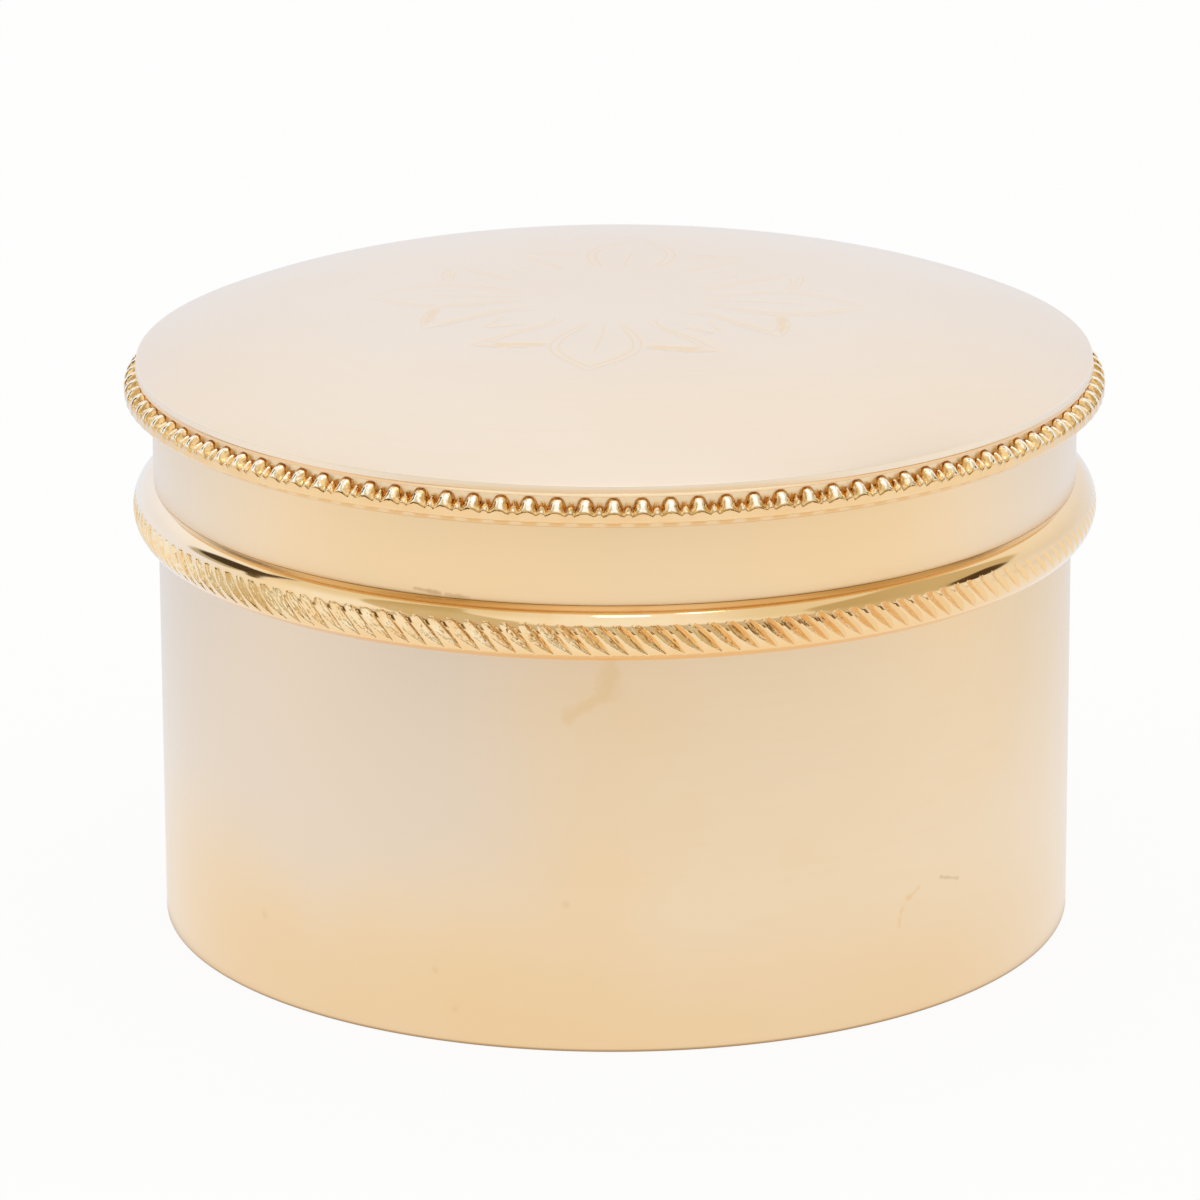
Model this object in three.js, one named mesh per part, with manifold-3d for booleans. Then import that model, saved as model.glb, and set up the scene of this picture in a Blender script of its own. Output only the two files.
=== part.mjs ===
// Round metal host box: a straight-sided drum with a lift-off lid.
// Units are millimetres, +Z is up, and the origin is the middle of the underside.
// The lid's skirt slips over a collar that stands in the mouth, and its edge lands on
// the half-round ring round the mouth. Gaps between soldered sheets stand for the solder.
import * as THREE from 'three';
import { mergeVertices } from 'three/addons/utils/BufferGeometryUtils.js';
import Module from 'manifold-3d';

// Drum
const BODY_RADIUS = 50;
const BODY_WALL = 0.8;
const MOUTH_HEIGHT = 49.4;
const FOOT_CHAMFER = 0.3;
const BASE_THICKNESS = 1.2;

// Joins and running clearances
const SOLDER_GAP = 0.1;
const SEAT_GAP = 0.1;
const LID_CLEARANCE = 0.25;

// Collar that guides the lid
const COLLAR_WALL = 0.8;
const COLLAR_STAND = 7;
const COLLAR_DEPTH = 11;
const COLLAR_LEAD = 0.4;

// Half-round ring round the mouth, with slanting cuts of a grinding wheel
const RING_PROUD = 2.7;
const RING_HEIGHT = 6;
const CUT_PITCH = 1.97;
const CUT_LENGTH = 7;
const CUT_WIDTH = 1.2;
const CUT_DEPTH = 0.85;
const CUT_SLANT = THREE.MathUtils.degToRad(45);

// Lid skirt
const SKIRT_WALL = 1.1;
const SKIRT_HEIGHT = 12;

// Pearl wire under the edge of the lid: round beads and necks on a flat strip
const BEAD_PITCH = 2.92;
const BEAD_RADIUS = 1.4;
const BEAD_LENGTH = 2.6;
const BEAD_WRAP = THREE.MathUtils.degToRad(120);
const NECK_RADIUS = 0.85;
const STRIP_HEIGHT = 2.4;
const STRIP_THICKNESS = 0.1;

// Domed top of the lid
const DOME_WALL = 0.8;
const BRIM_OVERHANG = 1.75;
const BRIM_WIDTH = 0.5;
const BRIM_THICKNESS = 0.6;
const SHOULDER_RADIUS = 1;
const CROWN_RISE = 5.5;
const CROWN_FLATNESS = 4;

// Facets
const ROUND_STEPS = 72;
const RING_STEPS = 7;
const PEARL_STEPS = 4;
const SHOULDER_STEPS = 3;
const CROWN_STEPS = 5;

// Sizes and heights that follow
const bodyBore = BODY_RADIUS - BODY_WALL;
const collarRadius = bodyBore - SOLDER_GAP;
const collarBore = collarRadius - COLLAR_WALL;
const collarTop = MOUTH_HEIGHT + COLLAR_STAND;
const ringMiddle = MOUTH_HEIGHT - RING_HEIGHT / 2;
const skirtBore = collarRadius + LID_CLEARANCE;
const skirtRadius = skirtBore + SKIRT_WALL;
const skirtFoot = MOUTH_HEIGHT + SEAT_GAP;
const skirtTop = skirtFoot + SKIRT_HEIGHT;
const brimFoot = skirtTop + SOLDER_GAP;
const brimTop = brimFoot + BRIM_THICKNESS;
const brimRadius = skirtRadius + BRIM_OVERHANG;
const shoulderFoot = brimRadius - BRIM_WIDTH;
const stripBack = skirtRadius + SOLDER_GAP;
const beadCircle = stripBack + STRIP_THICKNESS + BEAD_RADIUS;
const beadMiddle = brimFoot - 2 * SOLDER_GAP - BEAD_RADIUS;

const wasm = await Module();
wasm.setup();

// Solids and meshes

function toSolid(geometry) {
  const bare = geometry.clone();
  bare.deleteAttribute('normal');
  bare.deleteAttribute('uv');
  const merged = mergeVertices(bare, 1e-4);
  return new wasm.Manifold(new wasm.Mesh({
    numProp: 3,
    vertProperties: new Float32Array(merged.attributes.position.array),
    triVerts: new Uint32Array(merged.index.array),
  }));
}

function toGeometry(solid) {
  const mesh = solid.getMesh();
  const geometry = new THREE.BufferGeometry();
  geometry.setAttribute('position', new THREE.BufferAttribute(mesh.vertProperties, 3));
  geometry.setIndex(new THREE.BufferAttribute(mesh.triVerts, 1));
  geometry.computeVertexNormals();
  return geometry;
}

// Turns a closed outline of [radius, height] points round the Z axis.
function turned(outline) {
  const points = [...outline, outline[0]].map(([radius, height]) => new THREE.Vector2(radius, height));
  return new THREE.LatheGeometry(points, ROUND_STEPS).rotateX(Math.PI / 2);
}

// How many copies go round a circle at about this pitch, in whole quarters.
function copiesRound(radius, pitch) {
  return 4 * Math.round(2 * Math.PI * radius / pitch / 4);
}

// Points on an arc of an ellipse, from one angle to the other, both ends included.
function arc(radius, height, across, up, start, end, steps) {
  return Array.from({ length: steps + 1 }, (_, i) => {
    const angle = start + (end - start) * i / steps;
    return [radius + across * Math.cos(angle), height + up * Math.sin(angle)];
  });
}

function gold(roughness) {
  return new THREE.MeshStandardMaterial({ color: 0xe3bd7f, metalness: 1, roughness });
}

function piece(name, geometry, roughness) {
  const mesh = new THREE.Mesh(geometry, gold(roughness));
  mesh.name = name;
  return mesh;
}

// Box

function bodyWall() {
  return turned([
    [bodyBore, 0],
    [BODY_RADIUS - FOOT_CHAMFER, 0],
    [BODY_RADIUS, FOOT_CHAMFER],
    [BODY_RADIUS, MOUTH_HEIGHT],
    [bodyBore, MOUTH_HEIGHT],
  ]);
}

function basePlate() {
  const radius = bodyBore - SOLDER_GAP;
  return turned([
    [0, 0],
    [radius, 0],
    [radius, BASE_THICKNESS],
    [0, BASE_THICKNESS],
  ]);
}

function innerCollar() {
  return turned([
    [collarBore, MOUTH_HEIGHT - COLLAR_DEPTH],
    [collarRadius, MOUTH_HEIGHT - COLLAR_DEPTH],
    [collarRadius, collarTop - COLLAR_LEAD],
    [collarRadius - COLLAR_LEAD, collarTop],
    [collarBore, collarTop],
  ]);
}

// One cut of the wheel: a long pit with four faces, pointed at both ends, on the ring's
// widest line at azimuth 0, and slanting down to the right as seen from outside.
function wheelCut() {
  const pit = new THREE.OctahedronGeometry(1);
  pit.scale(CUT_DEPTH, CUT_LENGTH / 2, CUT_WIDTH / 2);
  pit.rotateX(-CUT_SLANT);
  pit.translate(BODY_RADIUS + RING_PROUD, 0, ringMiddle);
  return toSolid(pit);
}

function ropeRing() {
  const inside = BODY_RADIUS + SOLDER_GAP;
  const bulge = arc(inside, ringMiddle, RING_PROUD - SOLDER_GAP, RING_HEIGHT / 2,
    -Math.PI / 2, Math.PI / 2, RING_STEPS);
  const ring = toSolid(turned(bulge));
  const cut = wheelCut();
  const count = copiesRound(BODY_RADIUS + RING_PROUD, CUT_PITCH);
  const cuts = Array.from({ length: count }, (_, i) => cut.rotate([0, 0, 360 * i / count]));
  return toGeometry(ring.subtract(wasm.Manifold.union(cuts)));
}

// Lid

function lidSkirt() {
  return turned([
    [skirtBore, skirtFoot],
    [skirtRadius, skirtFoot],
    [skirtRadius, skirtTop],
    [skirtBore, skirtTop],
  ]);
}

// Stations along one bead, as [distance from its middle, radius there]: the neck before
// it, its near shoulder, its middle and its far shoulder.
function beadStations(pitch) {
  const shoulder = BEAD_LENGTH / 4;
  const girth = BEAD_RADIUS * Math.cos(Math.PI / 6);
  return [[-pitch / 2, NECK_RADIUS], [-shoulder, girth], [0, BEAD_RADIUS], [shoulder, girth]];
}

// The wire's section: the two back corners of the strip, and an arc round the bead.
function wireSection(radius) {
  return [
    [stripBack, beadMiddle + STRIP_HEIGHT / 2],
    [stripBack, beadMiddle - STRIP_HEIGHT / 2],
    ...arc(beadCircle, beadMiddle, radius, radius, -BEAD_WRAP, BEAD_WRAP, PEARL_STEPS),
  ];
}

// The section swells and shrinks along the ring, once for each bead.
function pearlWire() {
  const count = copiesRound(beadCircle, BEAD_PITCH);
  const pitch = 2 * Math.PI * beadCircle / count;
  const stations = Array.from({ length: count }, (_, bead) => (
    beadStations(pitch).map(([along, radius]) => [(bead * pitch + along) / beadCircle, radius])
  )).flat();
  const positions = stations.flatMap(([azimuth, radius]) => (
    wireSection(radius).flatMap(([across, height]) => (
      [across * Math.cos(azimuth), across * Math.sin(azimuth), height]
    ))
  ));
  const sides = wireSection(BEAD_RADIUS).length;
  const index = [];
  for (let i = 0; i < stations.length; i += 1) {
    const here = i * sides;
    const next = ((i + 1) % stations.length) * sides;
    for (let j = 0; j < sides; j += 1) {
      const k = (j + 1) % sides;
      index.push(here + j, next + j, next + k);
      index.push(here + j, next + k, here + k);
    }
  }
  const geometry = new THREE.BufferGeometry();
  geometry.setAttribute('position', new THREE.Float32BufferAttribute(positions, 3));
  geometry.setIndex(index);
  geometry.computeVertexNormals();
  return geometry;
}

// A rounded shoulder stands on the brim and stops about where the crown is as steep.
function domeShoulder() {
  const slope = CROWN_FLATNESS * CROWN_RISE / shoulderFoot;
  return arc(shoulderFoot - SHOULDER_RADIUS, brimTop, SHOULDER_RADIUS, SHOULDER_RADIUS,
    0, Math.PI / 2 - Math.atan(slope), SHOULDER_STEPS);
}

// The crown is nearly flat in the middle and falls faster towards its edge.
function domeCrown([edgeRadius, edgeHeight], reach) {
  return Array.from({ length: CROWN_STEPS + 1 }, (_, i) => {
    const radius = reach * i / CROWN_STEPS;
    return [radius, edgeHeight + CROWN_RISE * (1 - (radius / edgeRadius) ** CROWN_FLATNESS)];
  });
}

function lidDome() {
  const shoulder = domeShoulder();
  const edge = shoulder[shoulder.length - 1];
  const underside = domeCrown(edge, skirtBore).map(([radius, height]) => [radius, height - DOME_WALL]);
  const top = domeCrown(edge, edge[0]).slice(0, -1).reverse();
  return turned([
    ...underside,
    [skirtBore, brimFoot],
    [brimRadius, brimFoot],
    [brimRadius, brimTop],
    ...shoulder,
    ...top,
  ]);
}

const SATIN = 0.35;
const POLISHED = 0.12;

const box = new THREE.Group();
box.add(
  piece('body_wall', bodyWall(), SATIN),
  piece('base_plate', basePlate(), SATIN),
  piece('inner_collar', innerCollar(), SATIN),
  piece('rope_ring', ropeRing(), POLISHED),
);

const lid = new THREE.Group();
lid.add(
  piece('lid_skirt', lidSkirt(), SATIN),
  piece('bead_ring', pearlWire(), POLISHED),
  piece('lid_dome', lidDome(), SATIN),
);

const hostBox = new THREE.Group();
hostBox.add(box, lid);

export default hostBox;
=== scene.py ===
import math

import bpy
import numpy as np
from mathutils import Matrix, Vector
from mathutils.geometry import delaunay_2d_cdt


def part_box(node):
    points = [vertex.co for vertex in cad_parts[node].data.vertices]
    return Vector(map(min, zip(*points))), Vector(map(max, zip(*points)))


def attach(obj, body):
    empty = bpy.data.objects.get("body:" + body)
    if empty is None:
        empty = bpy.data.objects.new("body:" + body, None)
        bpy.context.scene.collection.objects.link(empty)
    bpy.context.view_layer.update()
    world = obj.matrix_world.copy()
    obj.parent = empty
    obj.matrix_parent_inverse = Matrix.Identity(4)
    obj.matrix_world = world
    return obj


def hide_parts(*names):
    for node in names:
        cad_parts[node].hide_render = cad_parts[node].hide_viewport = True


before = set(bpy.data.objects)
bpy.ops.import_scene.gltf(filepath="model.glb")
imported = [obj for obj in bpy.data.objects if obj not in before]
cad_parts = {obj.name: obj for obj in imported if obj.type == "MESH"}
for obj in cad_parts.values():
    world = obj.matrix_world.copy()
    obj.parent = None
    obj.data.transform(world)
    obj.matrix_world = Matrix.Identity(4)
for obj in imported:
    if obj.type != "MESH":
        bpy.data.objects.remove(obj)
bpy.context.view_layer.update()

# Lengths in this script are millimetres, angles are degrees, and azimuth 0 is the front (-Y),
# growing to the right. Meshes are scaled to metres when they are made.
MM = 0.001
SEED = 20
ROUND_STEPS = 288
ROUND_AZIMUTHS = np.arange(ROUND_STEPS) * 360 / ROUND_STEPS


def node_size(name):
    """Outer radius, lowest and highest point of a round CAD node."""
    low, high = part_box(name)
    return high.x / MM, low.z / MM, high.z / MM


BODY_RADIUS, _, MOUTH = node_size("body_wall")
BASE_RADIUS, _, BASE_TOP = node_size("base_plate")
COLLAR_RADIUS, COLLAR_FOOT, COLLAR_TOP = node_size("inner_collar")
_, RING_FOOT, RING_TOP = node_size("rope_ring")
SKIRT_RADIUS, SKIRT_FOOT, SKIRT_TOP = node_size("lid_skirt")
PEARL_RADIUS, _, _ = node_size("bead_ring")
BRIM_RADIUS, BRIM_FOOT, DOME_TOP = node_size("lid_dome")

# Sheets and joins
SHEET = 0.8
SKIRT_SHEET = 1.1
SOLDER = 0.1
COLLAR_LEAD = 0.4
EDGE_ROUND = 0.12
FOOT_ROUND = 0.3
SKIRT_SINK = 0.04
GROOVE_RADII = (31.0, 44.5)
BASE_GROOVE = 0.16

# Half-round ring and the cuts of the wheel in it
RING_BACK = BODY_RADIUS + SOLDER
RING_CREST = BODY_RADIUS + 2.7
RING_MIDDLE = (RING_FOOT + RING_TOP) / 2
CUT_COUNT = 168
CUT_PHASE = -0.55
CUT_FOOT = 44.5
CUT_TOP = 47.8
CUT_ARC = (-40, 29)
CUT_WIDEST = 0.6
CUT_GROWTH = 0.8
CUT_SHALLOWEST = 0.004
CUT_DEPTH = 0.5
CUT_ROUGH_WALL = 0.62
CUT_SMOOTH_WALL = 0.56
CUT_CHATTER = 0.017
CUT_STRIPE = 0.008
CUT_STRIPES = 5
CUT_TEXTURE_DEPTH = 0.15
CUT_WORN_FROM = 43
CUT_WORN_TO = 58
CUT_WORN_SHARE = 0.45

# Pearl wire: beads and reels that stand out of a thick flat band
PEARL_COUNT = 112
BEAD_FOOT = 59.05
BEAD_KNEE = 60.1
BEAD_TOP = 61.45
BEAD_HALF = 1.02
REEL_HALF = 0.42
REEL_TOP = 61.0
REEL_SHARE = 0.97
WEB_TOP = 60.25
WEB_SHARE = 0.95
KNEE_ARCH = 0.4
HEAD_START = 6
HEAD_END = 72
PEARL_FOOT_ROUND = 0.24
PEARL_PHASE = -0.235
FACE_ROWS = 5
HEAD_ROWS = 14
BAND_FOOT = 58.2
BAND_BACK = SKIRT_RADIUS + SOLDER
BAND_FRONT = BRIM_RADIUS - 0.3

# Dome of the lid
CROWN_RISE = 5.5
CROWN_EDGE = 51.1
CROWN_POWER = 4
LIP_TOP = BRIM_FOOT + 0.36
WALL_RADIUS = BRIM_RADIUS - 0.1
CORNER_ROUND = 0.03
UNDERSIDE_EDGE = 0.8
CROWN_ROWS = 24
UNDERSIDE_ROWS = 14

# Engraved cross of leaves on the crown
ENGRAVED_DISC = 30.5
DISC_SPACING = 1.5
GROOVE_HALF = 0.12
GROOVE_DEPTH = 0.03
GROOVE_TAPER = 1.6
FAINT_MIDDLE = 17
FAINTEST = 0.3
FAINT_BEHIND = (-10, 6)
FAINTEST_BEHIND = 0.16
LEAF_TURN = -6

# Camera, from the fit of the photograph's outlines
CAMERA_PLACE = (-1.66, -795.41, 282.35)
CAMERA_PITCH = 0.3023
CAMERA_ROLL = 0.0042
CAMERA_LENS = 226.94


# Meshes

def ring_grid(sections, azimuths):
    """Points of a grid round the axis: sections is rows x columns x (radius, height)."""
    angle = np.radians(azimuths)
    radius = sections[..., 0]
    return np.stack([radius * np.sin(angle), -radius * np.cos(angle), sections[..., 1]], -1)


def skin(rows, columns, closed):
    """Quads over such a grid, which closes round the axis, and over its rows too if closed."""
    faces = []
    for i in range(rows if closed else rows - 1):
        here, up = i * columns, (i + 1) % rows * columns
        for j in range(columns):
            k = (j + 1) % columns
            faces.append((here + j, here + k, up + k, up + j))
    return faces


def make_piece(name, points, faces, materials, finish=None, sharp=30):
    """A mesh object with smooth faces and edges kept sharp above an angle."""
    mesh = bpy.data.meshes.new(name)
    mesh.from_pydata((np.asarray(points) * MM).tolist(), [], faces)
    for material in materials:
        mesh.materials.append(material)
    if finish is not None:
        mesh.polygons.foreach_set("material_index", np.asarray(finish, np.int32))
    mesh.polygons.foreach_set("use_smooth", np.ones(len(mesh.polygons), bool))
    mesh.set_sharp_from_angle(angle=math.radians(sharp))
    mesh.update()
    piece = bpy.data.objects.new(name, mesh)
    bpy.context.scene.collection.objects.link(piece)
    return piece


def rounded(corners, steps=4):
    """Closed outline through (radius, height, fillet) corners, each turned into a small arc."""
    outline = []
    spots = [Vector(corner[:2]) for corner in corners]
    for i, spot in enumerate(spots):
        fillet = corners[i][2]
        before = (spots[i - 1] - spot).normalized()
        after = (spots[(i + 1) % len(spots)] - spot).normalized()
        if fillet == 0:
            outline.append(tuple(spot))
            continue
        half = before.angle(after) / 2
        middle = spot + (before + after).normalized() * fillet / math.sin(half)
        start = spot + before * fillet / math.tan(half) - middle
        end = spot + after * fillet / math.tan(half) - middle
        turn = start.angle_signed(end)
        for k in range(steps + 1):
            outline.append(tuple(middle + Matrix.Rotation(-turn * k / steps, 2) @ start))
    return outline


def lathe(name, outline, materials, choose=None, sharp=30):
    """Turns a closed outline of (radius, height) points, run counter-clockwise, round the axis.
    Points on the axis become one vertex. choose(radius, height) gives a face's material."""
    outline = np.asarray(outline, float)
    points, rows = [], []
    for radius, height in outline:
        if radius < 1e-6:
            rows.append([len(points)])
            points.append((0, 0, height))
        else:
            rows.append(list(range(len(points), len(points) + ROUND_STEPS)))
            section = np.full((ROUND_STEPS, 2), (radius, height))
            points.extend(ring_grid(section, ROUND_AZIMUTHS).tolist())
    faces, finish = [], []
    for i, row in enumerate(rows):
        up = rows[(i + 1) % len(rows)]
        if len(row) == 1 and len(up) == 1:
            continue
        middle = (outline[i] + outline[(i + 1) % len(rows)]) / 2
        picked = choose(*middle) if choose else 0
        for j in range(ROUND_STEPS):
            k = (j + 1) % ROUND_STEPS
            loop = [row[j % len(row)], row[k % len(row)], up[k % len(up)], up[j % len(up)]]
            faces.append(list(dict.fromkeys(loop)))
            finish.append(picked)
    return make_piece(name, points, faces, materials, finish, sharp)


# Materials

def add_node(tree, kind, inputs=None, **settings):
    """A node with its settings, and its inputs set to values or joined to sockets."""
    made = tree.nodes.new(kind)
    for key, value in settings.items():
        setattr(made, key, value)
    for key, value in (inputs or {}).items():
        if isinstance(value, bpy.types.NodeSocket):
            tree.links.new(value, made.inputs[key])
        else:
            made.inputs[key].default_value = value
    return made


def sums(tree, operation, *values):
    """The output of a Math node over values or sockets."""
    inputs = dict(enumerate(values))
    return add_node(tree, "ShaderNodeMath", inputs, operation=operation).outputs[0]


def times(tree, first, second):
    return sums(tree, "MULTIPLY", first, second)


def plus(tree, first, second):
    return sums(tree, "ADD", first, second)


def vectors(tree, operation, first, second=None):
    """The Vector Math node of an operation over one or two vectors."""
    inputs = {0: first} if second is None else {0: first, 1: second}
    return add_node(tree, "ShaderNodeVectorMath", inputs, operation=operation)


def parts_of(tree, vector):
    """The x, y and z of a vector."""
    return add_node(tree, "ShaderNodeSeparateXYZ", {"Vector": vector}).outputs


def between(tree, value, low, high, out_low=0.0, out_high=1.0):
    """A smooth ramp from out_low at low to out_high at high."""
    inputs = {"Value": value, "From Min": low, "From Max": high, "To Min": out_low, "To Max": out_high}
    ramp = add_node(tree, "ShaderNodeMapRange", inputs, interpolation_type="SMOOTHSTEP")
    return ramp.outputs["Result"]


def mixed(tree, share, first, second):
    """A colour from first to second."""
    mix = add_node(tree, "ShaderNodeMix", data_type="RGBA")
    for socket, value in ((mix.inputs[0], share), (mix.inputs[6], first), (mix.inputs[7], second)):
        if isinstance(value, bpy.types.NodeSocket):
            tree.links.new(value, socket)
        else:
            socket.default_value = value if isinstance(value, (int, float)) else (*value, 1)
    return mix.outputs[2]


def noise(tree, vector, scale, detail=2.0, roughness=0.5):
    """Noise from 0 to 1 at a scale in features per metre."""
    inputs = {"Vector": vector, "Scale": scale, "Detail": detail, "Roughness": roughness}
    return add_node(tree, "ShaderNodeTexNoise", inputs).outputs["Fac"]


def around_zero(tree, vector, scale, detail):
    """The same noise from -0.5 to 0.5."""
    return sums(tree, "SUBTRACT", noise(tree, vector, scale, detail), 0.5)


def place_on_object(tree):
    """Object coordinates in metres, and the same split in x, y and z."""
    place = add_node(tree, "ShaderNodeTexCoord").outputs["Object"]
    return place, *parts_of(tree, place)


def distance_out(tree, x, y):
    """The distance from the axis."""
    return sums(tree, "SQRT", plus(tree, times(tree, x, x), times(tree, y, y)))


def turned_place(tree, x, y, z, along, across):
    """Coordinates whose noise runs in long fine lines round the axis, as a lathe leaves them."""
    radius = distance_out(tree, x, y)
    inputs = {
        "X": times(tree, x, along),
        "Y": times(tree, y, along),
        "Z": times(tree, plus(tree, z, radius), across),
    }
    return add_node(tree, "ShaderNodeCombineXYZ", inputs).outputs["Vector"]


def new_material(name, lacquer_rough):
    """A metal with a node tree to fill, under a clear lacquer that whitens it at a slant."""
    material = bpy.data.materials.new(name)
    material.use_nodes = True
    tree = material.node_tree
    shader = tree.nodes["Principled BSDF"]
    shader.inputs["Metallic"].default_value = 1
    shader.inputs["Coat Weight"].default_value = 1
    shader.inputs["Coat Roughness"].default_value = lacquer_rough
    return material, tree, shader


def shade(tree, shader, colour, rough, height, depth):
    """Joins colour, roughness and a bump of that depth in millimetres to the shader."""
    tree.links.new(colour, shader.inputs["Base Color"])
    tree.links.new(rough, shader.inputs["Roughness"])
    bump = add_node(tree, "ShaderNodeBump", {"Height": height, "Distance": depth * MM, "Strength": 1.0})
    tree.links.new(bump.outputs["Normal"], shader.inputs["Normal"])


def with_stains_and_painted_light(tree, place, tone, stains_and_painted_light):
    """A tone under the marks, stains and painted light and shade alike, of a function that gives their
    shares and colours.
    """
    for share, colour in stains_and_painted_light(tree, place) if stains_and_painted_light else []:
        tone = mixed(tree, share, tone, colour)
    return tone


def on_wall(azimuth, height, radius=BODY_RADIUS):
    """The point of a round wall at an azimuth and height, in metres."""
    angle = math.radians(azimuth)
    return Vector((radius * math.sin(angle), -radius * math.cos(angle), height)) * MM


def stain(tree, place, spot, reach, soft):
    """1 near a spot of the surface, fading to 0 over its reach, with a ragged edge."""
    ragged = times(tree, around_zero(tree, place, 420, 3), soft * 1.4 * MM)
    away = vectors(tree, "DISTANCE", place, spot).outputs["Value"]
    return between(tree, plus(tree, away, ragged), reach * MM, (reach - soft) * MM)


# Tones of the gilding, of its wear, and of painted light and shade, as linear colours
GOLD = (0.895, 0.665, 0.40)
GOLD_PALE = (0.895, 0.71, 0.495)
GOLD_WARM = (0.94, 0.68, 0.38)
# Painted light and painted shade of the wall under the crown
WALL_PALE = (0.96, 0.83, 0.67)
RIM_GOLD = (0.92, 0.68, 0.41)
# Painted highlight along the lip's upper edge, and painted shade at its sides
LIP_GOLD = (0.95, 0.79, 0.56)
LIP_DEEP = (0.87, 0.585, 0.32)
SKIRT_GOLD = (0.93, 0.70, 0.43)
# Painted sheen of the skirt's sides
SKIRT_PAINTED_SHEEN = (0.90, 0.75, 0.58)
# The band's gold, painted deeper as shade in the recess under the lip
BAND_SHADED_GOLD = (0.93, 0.655, 0.35)
BAND_PALE = (0.94, 0.70, 0.41)
# Painted shadow under each bead, and painted light above the heads
BAND_PAINTED_SHADOW = (0.87, 0.52, 0.20)
BAND_PAINTED_LIGHT = (0.99, 0.79, 0.52)
# Painted reflection of cool light on the drum's left side
GOLD_PAINTED_REFLECTION = (0.82, 0.70, 0.585)
GOLD_DEEP = (0.84, 0.57, 0.27)
# The crown's gilding, painted paler than the drum's: partly its gold, partly a painted sheen of
# reflection at a slant
TOP_GOLD = (0.885, 0.735, 0.57)
TOP_PALE = (0.89, 0.765, 0.63)
POLISHED = (0.935, 0.72, 0.435)
POLISHED_DEEP = (0.92, 0.65, 0.33)
# Painted reflections and painted shade of the ring
ROPE_FOOT = (0.93, 0.57, 0.21)
ROPE_PAINTED_SHEEN = (0.99, 0.88, 0.73)
ROPE_SHADE = (0.785, 0.533, 0.23)
PEARL_GOLD = (0.92, 0.66, 0.36)
PEARL_DEEP = (0.91, 0.61, 0.30)
PEARL_HEAD = (0.96, 0.64, 0.26)
PEARL_DENT = (0.64, 0.40, 0.15)
# Painted highlight of the beads and reels
PEARL_HIGHLIGHT = (1.0, 0.93, 0.76)
CUT_PALE = (0.97, 0.80, 0.52)
CUT_SMOOTH = (0.92, 0.66, 0.35)
CUT_GOLD = (0.93, 0.64, 0.31)
CUT_DEEP = (0.90, 0.56, 0.23)
CUT_SHADE = (0.86, 0.55, 0.235)
# Tarnish of the specks and smudges, and also the painted shade along the drum's lowest edge
TARNISH_AND_SHADE = (0.62, 0.40, 0.19)

# Marks on the drum and the skirt, as (azimuth, height), the smudges with their shares
SPECKS = [(-22.5, 7.9), (-20, 3.8), (-48.8, 9.4), (-6.2, 16.4)]
CRESCENT = [(39.9, 14.2), (38.1, 13.3), (36.9, 11.7), (36.7, 10.4)]
BROWN_LINE = [(43.6, 14.6), (46.6, 13.8)]
SMEAR = [(-0.6, 42.3), (-1.4, 39.6), (-6.0, 37.0)]
SMUDGES = [((-24.4, 50.0), (-21.2, 49.8), 0.8), ((-20.4, 49.75), (-17.6, 49.6), 0.6)]


def satin_gold(name, low=GOLD, high=GOLD_PALE, rough=0.31, brushed=0.0003, stains_and_painted_light=None):
    """Gilding that was brushed on a lathe: fine lines round the axis and slow changes of tone."""
    material, tree, shader = new_material(name, lacquer_rough=0.3)
    place, x, y, z = place_on_object(tree)
    lines = noise(tree, turned_place(tree, x, y, z, 30, 5200), 1, 3, 0.6)
    scratches = noise(tree, turned_place(tree, x, y, z, 90, 1500), 1, 4, 0.65)
    cloud = noise(tree, place, 28, 3, 0.5)
    tone = mixed(tree, between(tree, cloud, 0.3, 0.7), low, high)
    tone = mixed(tree, between(tree, scratches, 0.35, 0.95, 0.0, 0.1), tone, GOLD_DEEP)
    tone = with_stains_and_painted_light(tree, place, tone, stains_and_painted_light)
    wear = plus(tree, between(tree, cloud, 0.25, 0.75, rough - 0.01, rough + 0.03),
                between(tree, lines, 0.2, 0.8, -0.01, 0.02))
    shade(tree, shader, tone, wear, plus(tree, lines, scratches), brushed)
    return material


def streak(tree, place, start, end, reach, soft):
    """1 along a line between two points of the surface, fading to 0 over its reach."""
    way = end - start
    length = way.length
    offset = vectors(tree, "SUBTRACT", place, start).outputs[0]
    along = vectors(tree, "DOT_PRODUCT", offset, way / length).outputs["Value"]
    along = add_node(tree, "ShaderNodeClamp", {"Value": along, "Min": 0.0, "Max": length})
    foot = vectors(tree, "SCALE", way / length)
    tree.links.new(along.outputs[0], foot.inputs["Scale"])
    away = vectors(tree, "DISTANCE", offset, foot.outputs[0])
    ragged = times(tree, around_zero(tree, place, 900, 3), soft * 1.6 * MM)
    return between(tree, plus(tree, away.outputs["Value"], ragged), reach * MM, (reach - soft) * MM)


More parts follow.
